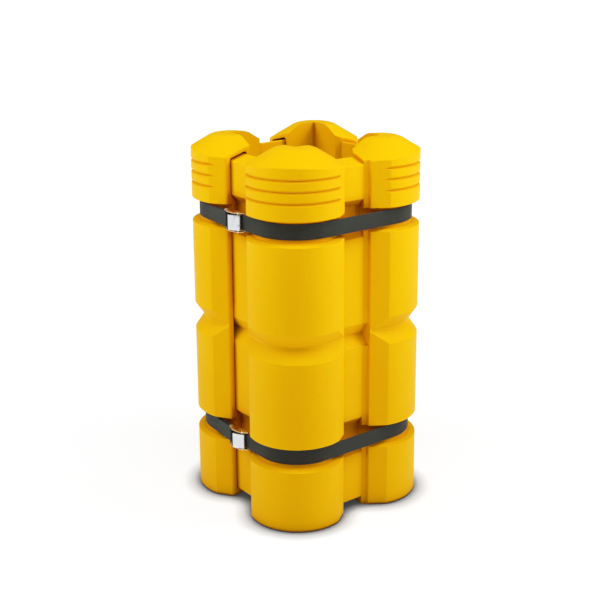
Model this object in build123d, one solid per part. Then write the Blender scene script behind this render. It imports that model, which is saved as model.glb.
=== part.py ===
from build123d import *
import os
from math import acos, atan2, cos, degrees, hypot, radians, sin, sqrt, tan

# Column protector: four interlocking hollow corner segments held round a square column
# by two webbing straps with cam buckles. Millimetres, Z up, origin on the floor on the
# column's axis. The front corner is at +X -Y, and the buckles are on the -Y side.

# Set
COLUMN_WIDTH = 300.0        # square opening between the segments
HEIGHT = 1067.0
WALL = 4.5                  # moulded wall
CLOSE_TRAVEL = 50.0         # how far a tongue can slide deeper into its pocket

# Lobe of a corner segment, in plan from the column's corner
LOBE_RADIUS = 142.0
LOBE_SETBACK = 20.0         # centre of the round band, behind both column faces
BAND_HALF_ANGLE = 61.4      # from the diagonal to the crease
FLANK_WIDTH = 53.0
FLANK_TURN = 79.3           # flank's normal from the diagonal
INNER_FACE_POCKET = 95.5    # bearing face on the column, pocket side
INNER_FACE_TONGUE = 100.5   # bearing face on the column, tongue side
STEP_RUN = 12.7             # from the flank's end down to the tongue
STEP_DROP = 17.0
KERB_RUN = 2.0              # steep first part of the step
KERB_DROP = 10.0
HEEL_RUN = 10.0             # slope of the step behind the tongue
LIP_RADIUS = 9.0
FOOT_RADIUS = 8.0
BROW_RADIUS = 4.0

# Domed top, turned about the column's corner
TOP_FLAT = 54.0
DOME_ANGLE = 31.4
DOME_BLEND = 60.0

# Ring grooves on the head
GROOVE_COUNT = 3
GROOVE_DROP = 70.0          # first groove below the top
GROOVE_PITCH = 31.0
GROOVE_DEPTH = 4.5
GROOVE_WIDTH = 12.0

# Strap channels
UPPER_STRAP_DROP = 209.5    # strap's middle below the top
LOWER_STRAP_RISE = 218.5    # strap's middle above the floor
CHANNEL_DEPTH = 23.5
CHANNEL_FLOOR = 60.0
CHANNEL_ABOVE = 31.0        # mouth's upper edge over the strap's middle
CHANNEL_BELOW = 38.0        # mouth's lower edge under it
CHANNEL_ROOT = 3.0
CHANNEL_EDGE = 2.0
MOUTH_STAND = 0.2           # a cut's rounded edge ends this far outside the band

# V waist
WAIST_HEIGHT = 535.0
WAIST_DEPTH = 25.0
WAIST_WIDTH = 80.0
WAIST_FLOOR = 6.0
WAIST_ROOT = 4.0            # radius in the bottom of the V
WAIST_EDGE = 4.0

# Tongue and pocket, outward from the column's face
TONGUE_INNER = 15.5
TONGUE_BOTTOM = 23.0
TONGUE_TOP_DROP = 58.0      # below the segment's top
TONGUE_TOP_RISE = 14.0      # the top slopes up towards the column
TONGUE_ENGAGED = 75.0       # length inside the next segment's pocket
TONGUE_EDGE = 4.0
WINDOW_RISE = 2.0           # recesses behind the straps sit higher than the straps
WINDOW_DEPTH = 20.0
WINDOW_WIDTH = 108.0
WINDOW_FLOOR = 68.0
NOTCH_DEPTH = 21.0
NOTCH_RISE = 22.0           # upper edge above the waist
NOTCH_DROP = 46.0           # lower edge below the waist
NOTCH_SAG = 12.0            # root below the waist
POCKET_GAP = 3.0
POCKET_HEADROOM = 4.0       # further room over the tongue's top
POCKET_END_GAP = 6.0

# Webbing
STRAP_WIDTH = 44.0
STRAP_THICK = 2.2
STRAP_GAP = 0.3             # webbing over what it lies on
SEAM_LENGTH = 34.0          # double layer of the sewn end
TAIL_REACH = 78.0           # running end's free end, left of the middle under the sewn end

# Cam buckle, along X from the middle of the -Y face
FRAME_LEFT = 22.0
FRAME_RIGHT = 56.0
FRAME_SHEET = 2.0
FRAME_SIDE_GAP = 3.0        # webbing to side plate
FRAME_FLOOR_GAP = 0.3       # webbing to floor plate
FRAME_SHOULDER = 16.0       # side plates' height over the floor plate's underside, left end
FRAME_STAND = 26.0          # at the peak
FRAME_PEAK_X = 9.0
FRAME_BROW = 21.5           # where the side plates begin to fall
FRAME_BROW_X = 37.0
FRAME_NOSE = 4.5            # at the right end
FRAME_EDGE = 5.0
FRAME_CROWN = 20.0          # radius over the peak and the brow
FLOOR_LENGTH = 60.0
BAR_X = 14.0                # anchor bar, left of the middle
BAR_RISE = 9.0              # anchor bar outside the webbing's middle
BAR_DIAMETER = 6.0
BAR_HEAD = 9.5
PIVOT_X = 41.0
PIN_DIAMETER = 5.0
PIN_HEAD = 8.5
PIN_HEAD_HEIGHT = 1.5
PIN_FIT = 0.05              # radial
HUB_RADIUS = 7.2
CAM_OFFSET = 2.0
CAM_DROP = 0.7
CAM_GAP = 0.3               # cam to webbing at rest
LEVER_LENGTH = 29.0
LEVER_SHEET = 2.5
LEVER_TILT = 38.0           # plate beside the pin, off the webbing
LEVER_FOLD = 13.0           # thumb end bent back towards the webbing
LEVER_FOLD_RUN = 9.0        # from the pin to the fold
LEVER_SIDE_GAP = 2.0
LEVER_EDGE = 1.0
TOOTH_COUNT = 5
TOOTH_PITCH = 16.0          # degrees round the cam
TOOTH_DEPTH = 0.8
SPRING_WIRE = 1.2
SPRING_SEAT = 0.3           # wire to the thumb plate
SPRING_TURNS = 4
SPRING_PITCH = 1.8
SPRING_LEG = 9.0
SPRING_SIDE_GAP = 1.5       # coil to the lever's ears
GAP_SAMPLES = 400           # points on the spring where its gap is measured

HALF = COLUMN_WIDTH / 2
STRAP_HEIGHTS = {"upper": HEIGHT - UPPER_STRAP_DROP, "lower": LOWER_STRAP_RISE}
TONGUE_TOP = HEIGHT - TONGUE_TOP_DROP
BAND_CENTRE = Vector(-LOBE_SETBACK, LOBE_SETBACK)
FLOOR_RADIUS = LOBE_RADIUS - CHANNEL_DEPTH
STRAP_INNER = FLOOR_RADIUS + STRAP_GAP
STRAP_OUTER = STRAP_INNER + STRAP_THICK
STRAP_CENTRE = HALF - LOBE_SETBACK
WEB_IN = STRAP_CENTRE + STRAP_INNER
WEB_OUT = STRAP_CENTRE + STRAP_OUTER
REACH = 4 * LOBE_RADIUS
FRAME_INSIDE = STRAP_WIDTH + 2 * FRAME_SIDE_GAP
FRAME_OUTSIDE = FRAME_INSIDE + 2 * FRAME_SHEET
FRAME_FLOOR = WEB_IN - FRAME_FLOOR_GAP - FRAME_SHEET
PIVOT_OUT = WEB_OUT + CAM_GAP + CAM_DROP + HUB_RADIUS
SPRING_RADIUS = HUB_RADIUS - LEVER_SHEET - SPRING_SEAT - SPRING_WIRE / 2
BAR_OUT = WEB_IN + STRAP_THICK / 2 + BAR_RISE
BAR_REACH = hypot(STRAP_CENTRE - BAR_X, BAR_OUT - STRAP_CENTRE)
BAR_LEAN = degrees(atan2(STRAP_CENTRE - BAR_X, BAR_OUT - STRAP_CENTRE) - acos(STRAP_INNER / BAR_REACH))


def band_point(radius, angle):
    """Point on a circle about the band's centre, by angle from the diagonal."""
    return BAND_CENTRE + Vector(radius, 0).rotate(Axis.Z, angle - 45)


def across(point):
    """The matching point on the other side of the diagonal."""
    return Vector(-point.Y, -point.X)


CREASE = band_point(LOBE_RADIUS, BAND_HALF_ANGLE)
LIP = CREASE + Vector(FLANK_WIDTH, 0).rotate(Axis.Z, FLANK_TURN + 45)
NOSE_WAY = Vector(1, -1)
LIP_ANGLE = (LIP - BAND_CENTRE).get_angle(NOSE_WAY)
ROOT = across(LIP)
TONGUE_OUTER = LIP.X - STEP_DROP
KERB = Vector(ROOT.X - KERB_RUN, ROOT.Y + KERB_DROP)
STEP = Vector(ROOT.X - STEP_RUN, -TONGUE_OUTER)
TONGUE_PLANE = Plane((0, 0, 0), x_dir=(0, -1, 0), z_dir=(-1, 0, 0))
POCKET_PLANE = Plane((0, 0, 0), x_dir=(1, 0, 0), z_dir=(0, -1, 0))


def near(sketch, *points):
    """Corners of a sketch at the given points."""
    return [sketch.vertices().sort_by_distance(Vector(*point))[0] for point in points]


def turned(profile, centre=(0, 0)):
    """Revolve a profile drawn as (radius, height) about an upright axis."""
    return Pos(*centre) * revolve(Plane.XZ * profile, Axis.Z)


def lobe_plan():
    heel = Vector(-INNER_FACE_TONGUE - HEEL_RUN, -TONGUE_INNER)
    outline = Polyline(
        across(CREASE), ROOT, KERB, STEP, heel, (-INNER_FACE_TONGUE, 0),
        (0, 0), (0, INNER_FACE_POCKET), LIP, CREASE,
    )
    outline += ThreePointArc(CREASE, band_point(LOBE_RADIUS, 0), across(CREASE))
    plan = make_face(outline)
    return fillet(near(plan, LIP), LIP_RADIUS)


def dome(inset):
    rim = HEIGHT - (REACH - TOP_FLAT) * tan(radians(DOME_ANGLE))
    corner = (TOP_FLAT, HEIGHT)
    profile = make_face(Polyline((0, 0), (REACH, 0), (REACH, rim), corner, (0, HEIGHT), close=True))
    profile = fillet(near(profile, corner), DOME_BLEND)
    return Pos(0, 0, -inset / cos(radians(DOME_ANGLE) / 2)) * turned(profile)


def mouth_cut(depth, floor, above, below, floor_edge, mouth_edge):
    """Section of a cut into the band as (depth above its floor, height), soft at the mouth."""
    outside = depth + MOUTH_STAND
    high = floor / 2 + (above - floor / 2) * outside / depth
    low = -floor / 2 - (below - floor / 2) * outside / depth
    brim = 2 * mouth_edge
    section = make_face(Polyline(
        (0, floor / 2), (outside, high), (outside, high + brim), (2 * outside, high + brim),
        (2 * outside, low - brim), (outside, low - brim), (outside, low), (0, -floor / 2), close=True,
    ))
    section = fillet(near(section, (outside, high), (outside, low)), mouth_edge)
    return fillet(near(section, (0, floor / 2), (0, -floor / 2)), floor_edge)


def channel(height, grow):
    """Ring cut for a strap, its walls sloping open towards the band."""
    section = mouth_cut(
        CHANNEL_DEPTH, CHANNEL_FLOOR, CHANNEL_ABOVE, CHANNEL_BELOW, CHANNEL_ROOT, CHANNEL_EDGE)
    section = Pos(FLOOR_RADIUS, height) * section
    return turned(offset(section, grow) if grow else section, BAND_CENTRE)


def groove(height, grow):
    """Head groove round the band, running out on the flanks."""
    root = LOBE_RADIUS - GROOVE_DEPTH
    outside = LOBE_RADIUS + GROOVE_DEPTH
    profile = make_face(Polyline(
        (root, 0), (outside, -GROOVE_WIDTH), (outside, GROOVE_WIDTH), close=True,
    ))
    return Pos(0, 0, height) * turned(offset(profile, grow) if grow else profile, BAND_CENTRE)


def waist(grow):
    """V cut round the lobe, its root leaving the arc to run out at both ends of the lobe."""
    radius = LOBE_RADIUS - WAIST_DEPTH
    lip = LIP - BAND_CENTRE
    leave = degrees(atan2(lip.Y, lip.X) - acos(radius / lip.length)) + 45
    end = band_point(radius, leave)
    path = Line(across(LIP + (LIP - end)), across(end))
    path += ThreePointArc(across(end), band_point(radius, 0), end)
    path += Line(end, LIP + (LIP - end))
    ahead = path % 0
    start = Plane(path @ 0, x_dir=ahead.rotate(Axis.Z, -90), z_dir=ahead)
    section = mouth_cut(
        WAIST_DEPTH, WAIST_FLOOR, WAIST_WIDTH / 2, WAIST_WIDTH / 2, WAIST_ROOT, WAIST_EDGE)
    section = offset(section, grow) if grow else section
    return Pos(0, 0, WAIST_HEIGHT) * sweep(start * section, path)


def notch():
    """V across the tongue beside the waist, as (distance from the column's face, height)."""
    high = WAIST_HEIGHT + NOTCH_RISE
    low = WAIST_HEIGHT - NOTCH_DROP
    outside = 2 * TONGUE_OUTER
    return make_face(Polyline(
        (TONGUE_OUTER - NOTCH_DEPTH, WAIST_HEIGHT - NOTCH_SAG), (TONGUE_OUTER, high), (outside, high),
        (outside, low), (TONGUE_OUTER, low), close=True,
    ))


def tongue_profile(top):
    """Cross-section without its notch, as (distance from the column's face, height)."""
    slab = make_face(Polyline(
        (TONGUE_INNER, TONGUE_BOTTOM), (TONGUE_OUTER, TONGUE_BOTTOM), (TONGUE_OUTER, top),
        (TONGUE_INNER, top + TONGUE_TOP_RISE), close=True,
    ))
    for height in STRAP_HEIGHTS.values():
        window = Trapezoid(
            WINDOW_WIDTH, WINDOW_DEPTH,
            degrees(atan2(WINDOW_DEPTH, (WINDOW_WIDTH - WINDOW_FLOOR) / 2)),
        )
        place = Pos(TONGUE_OUTER - WINDOW_DEPTH / 2, height + WINDOW_RISE)
        slab -= place * Rot(0, 0, 90) * window
    return fillet(slab.vertices(), TONGUE_EDGE)


def tongue(inset):
    profile = tongue_profile(TONGUE_TOP) - notch()
    profile = offset(profile, -inset) if inset else profile
    start = INNER_FACE_TONGUE - inset
    tip = COLUMN_WIDTH - LIP.Y + TONGUE_ENGAGED
    return extrude(TONGUE_PLANE.offset(start) * profile, tip - inset - start, dir=(-1, 0, 0))


def pocket(grow):
    profile = offset(tongue_profile(TONGUE_TOP + POCKET_HEADROOM), POCKET_GAP + grow)
    depth = TONGUE_ENGAGED + CLOSE_TRAVEL + POCKET_END_GAP + grow
    mouth = LIP.Y + LOBE_SETBACK
    return extrude(POCKET_PLANE.offset(-mouth) * profile, mouth - LIP.Y + depth, dir=(0, -1, 0))


def notch_end(grow):
    """The tongue's notch carried on through the step, up to the end of the flank."""
    profile = offset(notch(), grow) if grow else notch()
    return extrude(TONGUE_PLANE.offset(-ROOT.X - grow) * profile, STEP_RUN + grow, dir=(-1, 0, 0))


def cut_form(block, grow):
    """Take the channels, grooves, waist and notch out of a lobe."""
    for height in STRAP_HEIGHTS.values():
        block -= channel(height, grow)
    for index in range(GROOVE_COUNT):
        block -= groove(HEIGHT - GROOVE_DROP - index * GROOVE_PITCH, grow)
    block -= waist(grow)
    block -= notch_end(grow)
    return block


def faces_out(edge):
    """Whether an edge of the lobe borders the band or a flank."""
    middle = edge @ 0.5 - BAND_CENTRE
    middle = Vector(middle.X, middle.Y)
    return middle.length > FLOOR_RADIUS and middle.get_angle(NOSE_WAY) < LIP_ANGLE


def segment():
    """Front corner segment, with the column's corner at the origin."""
    plan = lobe_plan()
    lobe = extrude(plan, HEIGHT) & dome(0)
    foot = lobe.edges().group_by(Axis.Z)[0]
    lobe = fillet([edge for edge in foot if faces_out(edge)], FOOT_RADIUS)
    brow = [edge for edge in lobe.edges() if min((edge @ 0).Z, (edge @ 1).Z) > WAIST_HEIGHT]
    lobe = fillet([edge for edge in brow if faces_out(edge)], BROW_RADIUS)
    lobe = cut_form(lobe, 0)
    hollow = Pos(0, 0, WALL) * extrude(offset(plan, -WALL), HEIGHT)
    hollow = cut_form(hollow & dome(WALL), WALL)
    shell = lobe + tongue(0) - pocket(0)
    return shell - (hollow + tongue(WALL) - pocket(WALL))


def save(shape, node):
    shape.label = node
    export_step(shape, f"parts/{node}.step")


def upright(profile, width):
    """Stand up a profile drawn as (x, distance outward from the axis on the -Y side)."""
    return extrude(mirror(profile, Plane.XZ), width / 2, dir=(0, 0, 1), both=True)


def bend(inner, start, turn):
    """Webbing laid round a corner, about the upright axis."""
    section = Pos(inner + STRAP_THICK / 2, 0) * Rectangle(STRAP_THICK, STRAP_WIDTH)
    return Rot(0, 0, start) * revolve(Plane.XZ * section, Axis.Z, turn)


def flat_web(left, right, inner):
    """Straight webbing on the -Y side."""
    middle = Pos((left + right) / 2, inner + STRAP_THICK / 2)
    return upright(middle * Rectangle(right - left, STRAP_THICK), STRAP_WIDTH)


def sewn_end():
    """Webbing from the left corner to the anchor bar, looped round it and sewn to itself."""
    length = sqrt(BAR_REACH**2 - STRAP_INNER**2)
    hole = BAR_DIAMETER / 2 + STRAP_GAP
    profile = Pos(-length / 2, STRAP_THICK / 2) * Rectangle(length, STRAP_THICK)
    profile += Pos(-SEAM_LENGTH / 2, -STRAP_THICK / 2) * Rectangle(SEAM_LENGTH, STRAP_THICK)
    profile += Circle(hole + STRAP_THICK)
    profile -= Circle(hole)
    return upright(Pos(-BAR_X, BAR_OUT) * Rot(0, 0, -BAR_LEAN) * profile, STRAP_WIDTH)


def buckle_frame():
    """Folded sheet: a floor plate under the webbing and two side plates with eyes."""
    toe = (-FRAME_LEFT, FRAME_FLOOR)
    shoulder = (-FRAME_LEFT, FRAME_FLOOR + FRAME_SHOULDER)
    peak = (FRAME_PEAK_X, FRAME_FLOOR + FRAME_STAND)
    brow = (FRAME_BROW_X, FRAME_FLOOR + FRAME_BROW)
    nose = (FRAME_RIGHT, FRAME_FLOOR + FRAME_NOSE)
    side = make_face(Polyline(toe, shoulder, peak, brow, nose, (FRAME_RIGHT, FRAME_FLOOR), close=True))
    side = fillet(near(side, shoulder, toe), FRAME_EDGE)
    side = fillet(near(side, peak, brow), FRAME_CROWN)
    inside = Rectangle(4 * FRAME_RIGHT, 4 * WEB_OUT)
    floor = Pos(FRAME_RIGHT - FLOOR_LENGTH / 2, FRAME_FLOOR) * Rectangle(FLOOR_LENGTH, 2 * FRAME_SHEET)
    frame = upright(side, FRAME_OUTSIDE) - upright(inside - floor, FRAME_INSIDE)
    frame -= upright(Pos(PIVOT_X, PIVOT_OUT) * Circle(PIN_DIAMETER / 2 + PIN_FIT), 2 * FRAME_OUTSIDE)
    return frame - upright(Pos(-BAR_X, BAR_OUT) * Circle(BAR_DIAMETER / 2 + PIN_FIT), 2 * FRAME_OUTSIDE)


def headed_pin(diameter, head):
    """Pin across the side plates, headed over outside both."""
    pin = Cylinder(diameter / 2, FRAME_OUTSIDE + 2 * PIN_HEAD_HEIGHT)
    for end in (-1, 1):
        middle = end * (FRAME_OUTSIDE + PIN_HEAD_HEIGHT) / 2
        cap = Cylinder(head / 2, PIN_HEAD_HEIGHT)
        rim = cap.edges().sort_by(Axis.Z)[-1 if end > 0 else 0]
        pin += Pos(0, 0, middle) * fillet(rim, PIN_HEAD_HEIGHT / 2)
    return pin


def lever():
    """Thumb plate over two ears that turn on the pin and grip the webbing as a cam."""
    width = FRAME_INSIDE - 2 * LEVER_SIDE_GAP
    slot = SPRING_TURNS * SPRING_PITCH + SPRING_WIRE + 2 * SPRING_SIDE_GAP
    middle = HUB_RADIUS - LEVER_SHEET / 2
    fold = Vector(-LEVER_FOLD_RUN, middle)
    tip = fold + Vector(LEVER_FOLD_RUN - LEVER_LENGTH, 0).rotate(Axis.Z, LEVER_FOLD)
    plate = trace(Polyline((0, middle), fold, tip), LEVER_SHEET)
    plate = fillet(plate.vertices().sort_by(Axis.X)[:2], LEVER_EDGE)
    cam = Pos(CAM_OFFSET, -CAM_DROP) * Circle(HUB_RADIUS)
    for index in range(TOOTH_COUNT):
        turn = (index - (TOOTH_COUNT - 1) / 2) * TOOTH_PITCH
        tooth = Pos(0, -HUB_RADIUS) * Rot(0, 0, 45) * Rectangle(TOOTH_DEPTH, TOOTH_DEPTH)
        cam -= Pos(CAM_OFFSET, -CAM_DROP) * Rot(0, 0, turn) * tooth
    ear = cam + Circle(HUB_RADIUS) - Circle(PIN_DIAMETER / 2 + PIN_FIT)
    ears = upright(ear, width) - upright(Rectangle(4 * HUB_RADIUS, 4 * HUB_RADIUS), slot)
    return ears + upright(Rot(0, 0, -LEVER_TILT) * plate, width)


def biarc(start, ahead, end, beyond):
    """Two arcs that join two points and keep the direction at both."""
    chord = end - start
    both = ahead + beyond
    square = 2 * (1 - ahead.dot(beyond))
    reach = (sqrt(chord.dot(both) ** 2 + square * chord.dot(chord)) - chord.dot(both)) / square
    middle = (start + ahead * reach + end - beyond * reach) / 2
    return TangentArc(start, middle, tangent=ahead) + TangentArc(end, middle, tangent=-beyond)


def spring_path():
    """Torsion spring round the pin, one leg along the webbing and one under the thumb plate."""
    first = radians(270)
    last = radians(90 - LEVER_TILT + 360 * SPRING_TURNS)
    steps = 4 * SPRING_TURNS
    rise = SPRING_PITCH / radians(360)
    low = -rise * (first + last) / 2

    def at(angle):
        return Vector(SPRING_RADIUS * cos(angle), SPRING_RADIUS * sin(angle), low + rise * angle)

    def along(angle):
        return Vector(-SPRING_RADIUS * sin(angle), SPRING_RADIUS * cos(angle), rise).normalized()

    angles = [first + (last - first) * step / steps for step in range(steps + 1)]
    path = Line(at(first) - along(first) * SPRING_LEG, at(first))
    for start, end in zip(angles, angles[1:]):
        path += biarc(at(start), along(start), at(end), along(end))
    path += Line(at(last), at(last) + along(last) * SPRING_LEG)
    return path


def wound_spring():
    path = Wire(spring_path().edges())
    section = Plane(path @ 0, z_dir=path % 0) * Circle(SPRING_WIRE / 2)
    points = [path @ (step / GAP_SAMPLES) for step in range(GAP_SAMPLES + 1)]
    half_turn = int(GAP_SAMPLES * radians(180) * SPRING_RADIUS / path.length)
    pairs = [(a, b) for index, a in enumerate(points) for b in points[index + half_turn:]]
    gap = min((a - b).length for a, b in pairs) - SPRING_WIRE
    print(f"spring: least gap to itself {gap:.2f} mm")
    return mirror(sweep(section, path), Plane.XZ)


os.makedirs("parts", exist_ok=True)

corner_segment = segment()
for turn, side in enumerate(("front", "right", "back", "left")):
    save(Rot(0, 0, 90 * turn) * Pos(HALF, -HALF) * corner_segment, f"{side}_segment")

coil = wound_spring()
for strap, height in STRAP_HEIGHTS.items():
    level = Pos(0, 0, height)
    corner = Pos(STRAP_CENTRE, -STRAP_CENTRE)
    for turn, side in enumerate(("front", "right", "back")):
        save(level * Rot(0, 0, 90 * turn) * corner * bend(STRAP_INNER, -90, 90), f"{strap}_strap_{side}_bend")
    last_bend = bend(STRAP_INNER, -90, 90 + BAR_LEAN)
    save(level * Rot(0, 0, 270) * corner * last_bend, f"{strap}_strap_left_bend")
    span = flat_web(-STRAP_CENTRE, STRAP_CENTRE, WEB_IN)
    for turn, side in enumerate(("front_right", "right_back", "back_left")):
        save(level * Rot(0, 0, 90 * (turn + 1)) * span, f"{strap}_strap_{side}_span")
    save(level * sewn_end(), f"{strap}_strap_sewn_end")
    save(level * flat_web(-TAIL_REACH, STRAP_CENTRE, WEB_IN), f"{strap}_strap_running_end")
    pivot = level * Pos(PIVOT_X, -PIVOT_OUT)
    save(level * buckle_frame(), f"{strap}_buckle_frame")
    save(pivot * lever(), f"{strap}_buckle_lever")
    save(pivot * headed_pin(PIN_DIAMETER, PIN_HEAD), f"{strap}_buckle_pivot_pin")
    save(level * Pos(-BAR_X, -BAR_OUT) * headed_pin(BAR_DIAMETER, BAR_HEAD), f"{strap}_buckle_anchor_bar")
    save(pivot * coil, f"{strap}_buckle_spring")
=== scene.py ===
from math import acos, asin, atan2, cos, hypot, pi, radians, sin, sqrt, tau

import bpy
from bpy.props import FloatProperty, FloatVectorProperty, IntProperty, PointerProperty
from mathutils import Matrix, Vector


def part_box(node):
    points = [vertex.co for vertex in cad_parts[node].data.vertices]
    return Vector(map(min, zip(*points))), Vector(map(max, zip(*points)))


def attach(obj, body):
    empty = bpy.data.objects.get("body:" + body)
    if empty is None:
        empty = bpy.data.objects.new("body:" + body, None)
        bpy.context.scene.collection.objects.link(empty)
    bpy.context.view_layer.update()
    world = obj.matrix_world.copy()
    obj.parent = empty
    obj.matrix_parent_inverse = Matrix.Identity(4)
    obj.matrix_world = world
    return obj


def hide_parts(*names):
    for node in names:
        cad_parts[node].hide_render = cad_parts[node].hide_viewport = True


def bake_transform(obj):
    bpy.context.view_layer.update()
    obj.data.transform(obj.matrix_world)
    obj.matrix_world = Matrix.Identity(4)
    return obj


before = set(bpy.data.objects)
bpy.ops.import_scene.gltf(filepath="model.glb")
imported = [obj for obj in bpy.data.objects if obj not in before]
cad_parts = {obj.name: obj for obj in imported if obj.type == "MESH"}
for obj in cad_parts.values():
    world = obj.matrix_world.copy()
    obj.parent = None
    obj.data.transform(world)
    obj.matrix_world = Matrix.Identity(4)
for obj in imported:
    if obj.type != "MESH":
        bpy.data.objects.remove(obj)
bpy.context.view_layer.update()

bl_info = {
    "name": "Column protector",
    "version": (1, 0, 0),
    "blender": (4, 5, 0),
    "location": "View3D > Sidebar > Protector",
    "description": "Finishes a column protector: moulded segments, webbing straps, cam buckles and studio",
    "category": "Object",
}

STRAPS = ("upper", "lower")
CORNERS = ("front", "right", "back", "left")
MM = 0.001
QUARTER = pi / 2
IMAGE = 600                             # the picture's side in pixels
SENSOR = 36                             # the camera's sensor in mm
FLOOR_RADIUS = 80                       # the floor ends out of sight, in m
WELD = 0.002 * MM                       # doubled points of a CAD mesh lie nearer than this
FLAT = radians(1)                       # triangles of one flat face turn less than this
FOLD = radians(50)                      # stamped edges turn more than this
ROLLED = 18                             # facets of the sheet rolled round a hub
WOUND = radians(15)                     # a spring's facet
WAVE = tau / (10 * sqrt(3))             # a diagonal wave texture of scale 1 repeats after this
PAINTED_NOTCH_SHADE_FADES = (4 * MM, 10 * MM, 20 * MM)    # rims of a notch's painted shade: outward, sideways, up and down
BRIGHTEST = 1.4                         # light that the picture shows as white
# The bright end of the tone curve: light, and how bright it is shown.
TONE_CURVE = ((0.35, 0.35), (0.70, 0.70), (0.85, 0.79), (1.00, 0.875), (1.20, 0.985))


def linear(code):
    """sRGB hex to the linear colour that shaders and lights take."""
    parts = [int(code[index:index + 2], 16) / 255 for index in (0, 2, 4)]
    return [part / 12.92 if part <= 0.04045 else ((part + 0.055) / 1.055) ** 2.4 for part in parts]


def colour(name, description, code):
    """Colour property from a hex default."""
    return FloatVectorProperty(
        name=name, description=description, default=linear(code), size=3, min=0, max=1, subtype="COLOR")


def length(name, description, millimetres):
    """Length property from a default in millimetres."""
    return FloatProperty(
        name=name, description=description, default=millimetres * MM, min=0, precision=5, unit="LENGTH")


def angle(name, description, degrees):
    """Angle property from a default in degrees."""
    return FloatProperty(name=name, description=description, default=radians(degrees), subtype="ANGLE")


def share(name, description, part):
    """Property from 0 to 1."""
    return FloatProperty(name=name, description=description, default=part, min=0, max=1, subtype="FACTOR")


def strength(name, description, value):
    """Property of 0 or more, without a unit."""
    return FloatProperty(name=name, description=description, default=value, min=0)


def softbox(name, watts):
    """Power of a softbox."""
    return FloatProperty(
        name=name, description="Power of this softbox", default=watts, min=0, unit="POWER")


class MouldingSettings(bpy.types.PropertyGroup):
    """Finish of the corner segments."""

    pigment: colour("Pigment", "Safety yellow right through the wall", "E5AD05")
    deep: colour("Deep tone", "Yellow where the pigment lies thicker", "DFA404")
    scuff: colour("Scuff", "Rubbed and dusty spots", "D29A0A")
    # The crevice colour and the widths, places and heights from here to the waist's end paint orange shade
    # into gaps, grooves and the notches behind the straps.
    painted_crevice_shade: colour("Crevice", "Orange depth of narrow gaps and pockets", "C06A00")
    gloss: colour("Gloss", "Tint of the little light that the skin mirrors", "FFE739")
    painted_crevice_width: length("Crevice width", "Gaps narrower than this turn orange", 70.0)
    painted_groove_width: length("Groove width", "Grooves and inner edges narrower than this turn orange", 14.0)
    painted_notch_width: length("Notch width", "Notches behind the straps narrower than this turn orange", 100.0)
    painted_notch_reach: length("Notch reach", "Those notches lie this near to the column's middle", 232.0)
    painted_notch_side: length("Half notch", "Half their length along the column's side", 115.0)
    painted_notch_rise: length("Notch height", "Half their height", 54.0)
    waist: length("Waist", "Height of the open V round the middle, whose root stays yellow", 535.0)
    painted_groove_shade_start: length("Half waist", "Grooves stay yellow this far from that height", 46.0)
    painted_groove_shade_full: length("Waist's end", "Grooves are fully orange this far from that height", 69.0)
    peel: length("Orange peel", "Width of the ripples left by the mould", 7.0)
    peel_depth: length("Peel depth", "Height of those ripples", 0.25)
    grain: length("Grain", "Width of the satin grain, coarser than the real one", 1.6)
    grain_depth: length("Grain depth", "Height of that grain", 0.06)
    cloud: length("Tone drift", "Width of the soft changes in tone", 240.0)
    rub: length("Rub", "Width of the rubbed spots", 20.0)
    smoothest: share("Smoothest", "Least roughness of the skin", 0.41)
    roughest: share("Roughest", "Most roughness of the skin", 0.53)


class WebbingSettings(bpy.types.PropertyGroup):
    """Shape and weave of the straps."""

    yarn: colour("Yarn", "Charcoal polyester", "1B1F1A")
    # Painted highlight: the rib crests take this colour, most where the wear noise is high.
    painted_crest_highlight: colour("Raised yarn", "Yarn where it rises to the light", "393A30")
    selvedge: length("Selvedge", "Width of the plain edge", 2.6)
    selvedge_fade: length("Selvedge fade", "Over this width the ribs sink into the plain edge", 0.78)
    rounding: length("Edge rounding", "Radius on the four long edges", 0.9)
    rib: length("Rib", "Length of one diagonal rib", 3.4)
    rib_depth: length("Rib depth", "Height of a rib", 0.35)
    chevron: length("Chevron", "Width of one leg of the herringbone", 5.0)
    warp: share("Warp", "Height of the yarn along the strap, of a rib's", 0.35)
    # These patches set the roughness of worn webbing and also place the painted highlight on the rib crests.
    wear_and_sheen: length("Wear", "Width of the worn patches", 71.43)
    fibre: length("Fibres", "Width of a bundle of fibres", 0.5)
    fuzz: length("Fuzz", "Height of a bundle of fibres", 0.05)
    seam: length("Seam", "Length of the folded-back layer", 34.0)
    bar: length("Anchor bar", "Diameter of the bar inside the sewn loop", 6.0)
    slack: length("Loop play", "Webbing off the anchor bar", 0.3)
    flare: length("Flare", "Radius where the layers part to pass the bar", 14.0)
    tail: length("Free end", "How much longer the lower strap's free end is", 30.0)
    lift: length("Slip", "How far the lower strap's free end has slipped up under the sewn end", 8.0)
    tuck: length("Tuck", "How far the lower strap's free end lies inside the sewn end", 3.0)
    stride: length("Stride", "Length of a division of a straight run", 20.0)
    steps: IntProperty(name="Steps", description="Divisions of a corner bend", default=30, min=6)


class StitchSettings(bpy.types.PropertyGroup):
    """Box-and-cross seam on the sewn ends."""

    thread: colour("Thread", "Bonded polyester thread", "484B49")
    shade: colour("Thread shade", "Thread where a ply turns under", "3C3F3D")
    diameter: length("Diameter", "Thread diameter", 0.9)
    tip: length("Tip", "Rounding where a stitch dives", 0.27)
    twist: length("Twist", "From ply to ply of the twisted thread", 0.9328)
    ply_depth: length("Ply depth", "Height of a ply", 0.1)
    pitch: length("Pitch", "From stitch to stitch", 3.1)
    gap: length("Gap", "Between two stitches, where the thread dives", 0.4)
    start: length("Start", "Seam's near end from the anchor bar", 12.5)
    end: length("End", "Seam's far end from the anchor bar", 32.0)
    margin: length("Margin", "Seam from the webbing's edge", 5.0)


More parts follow.
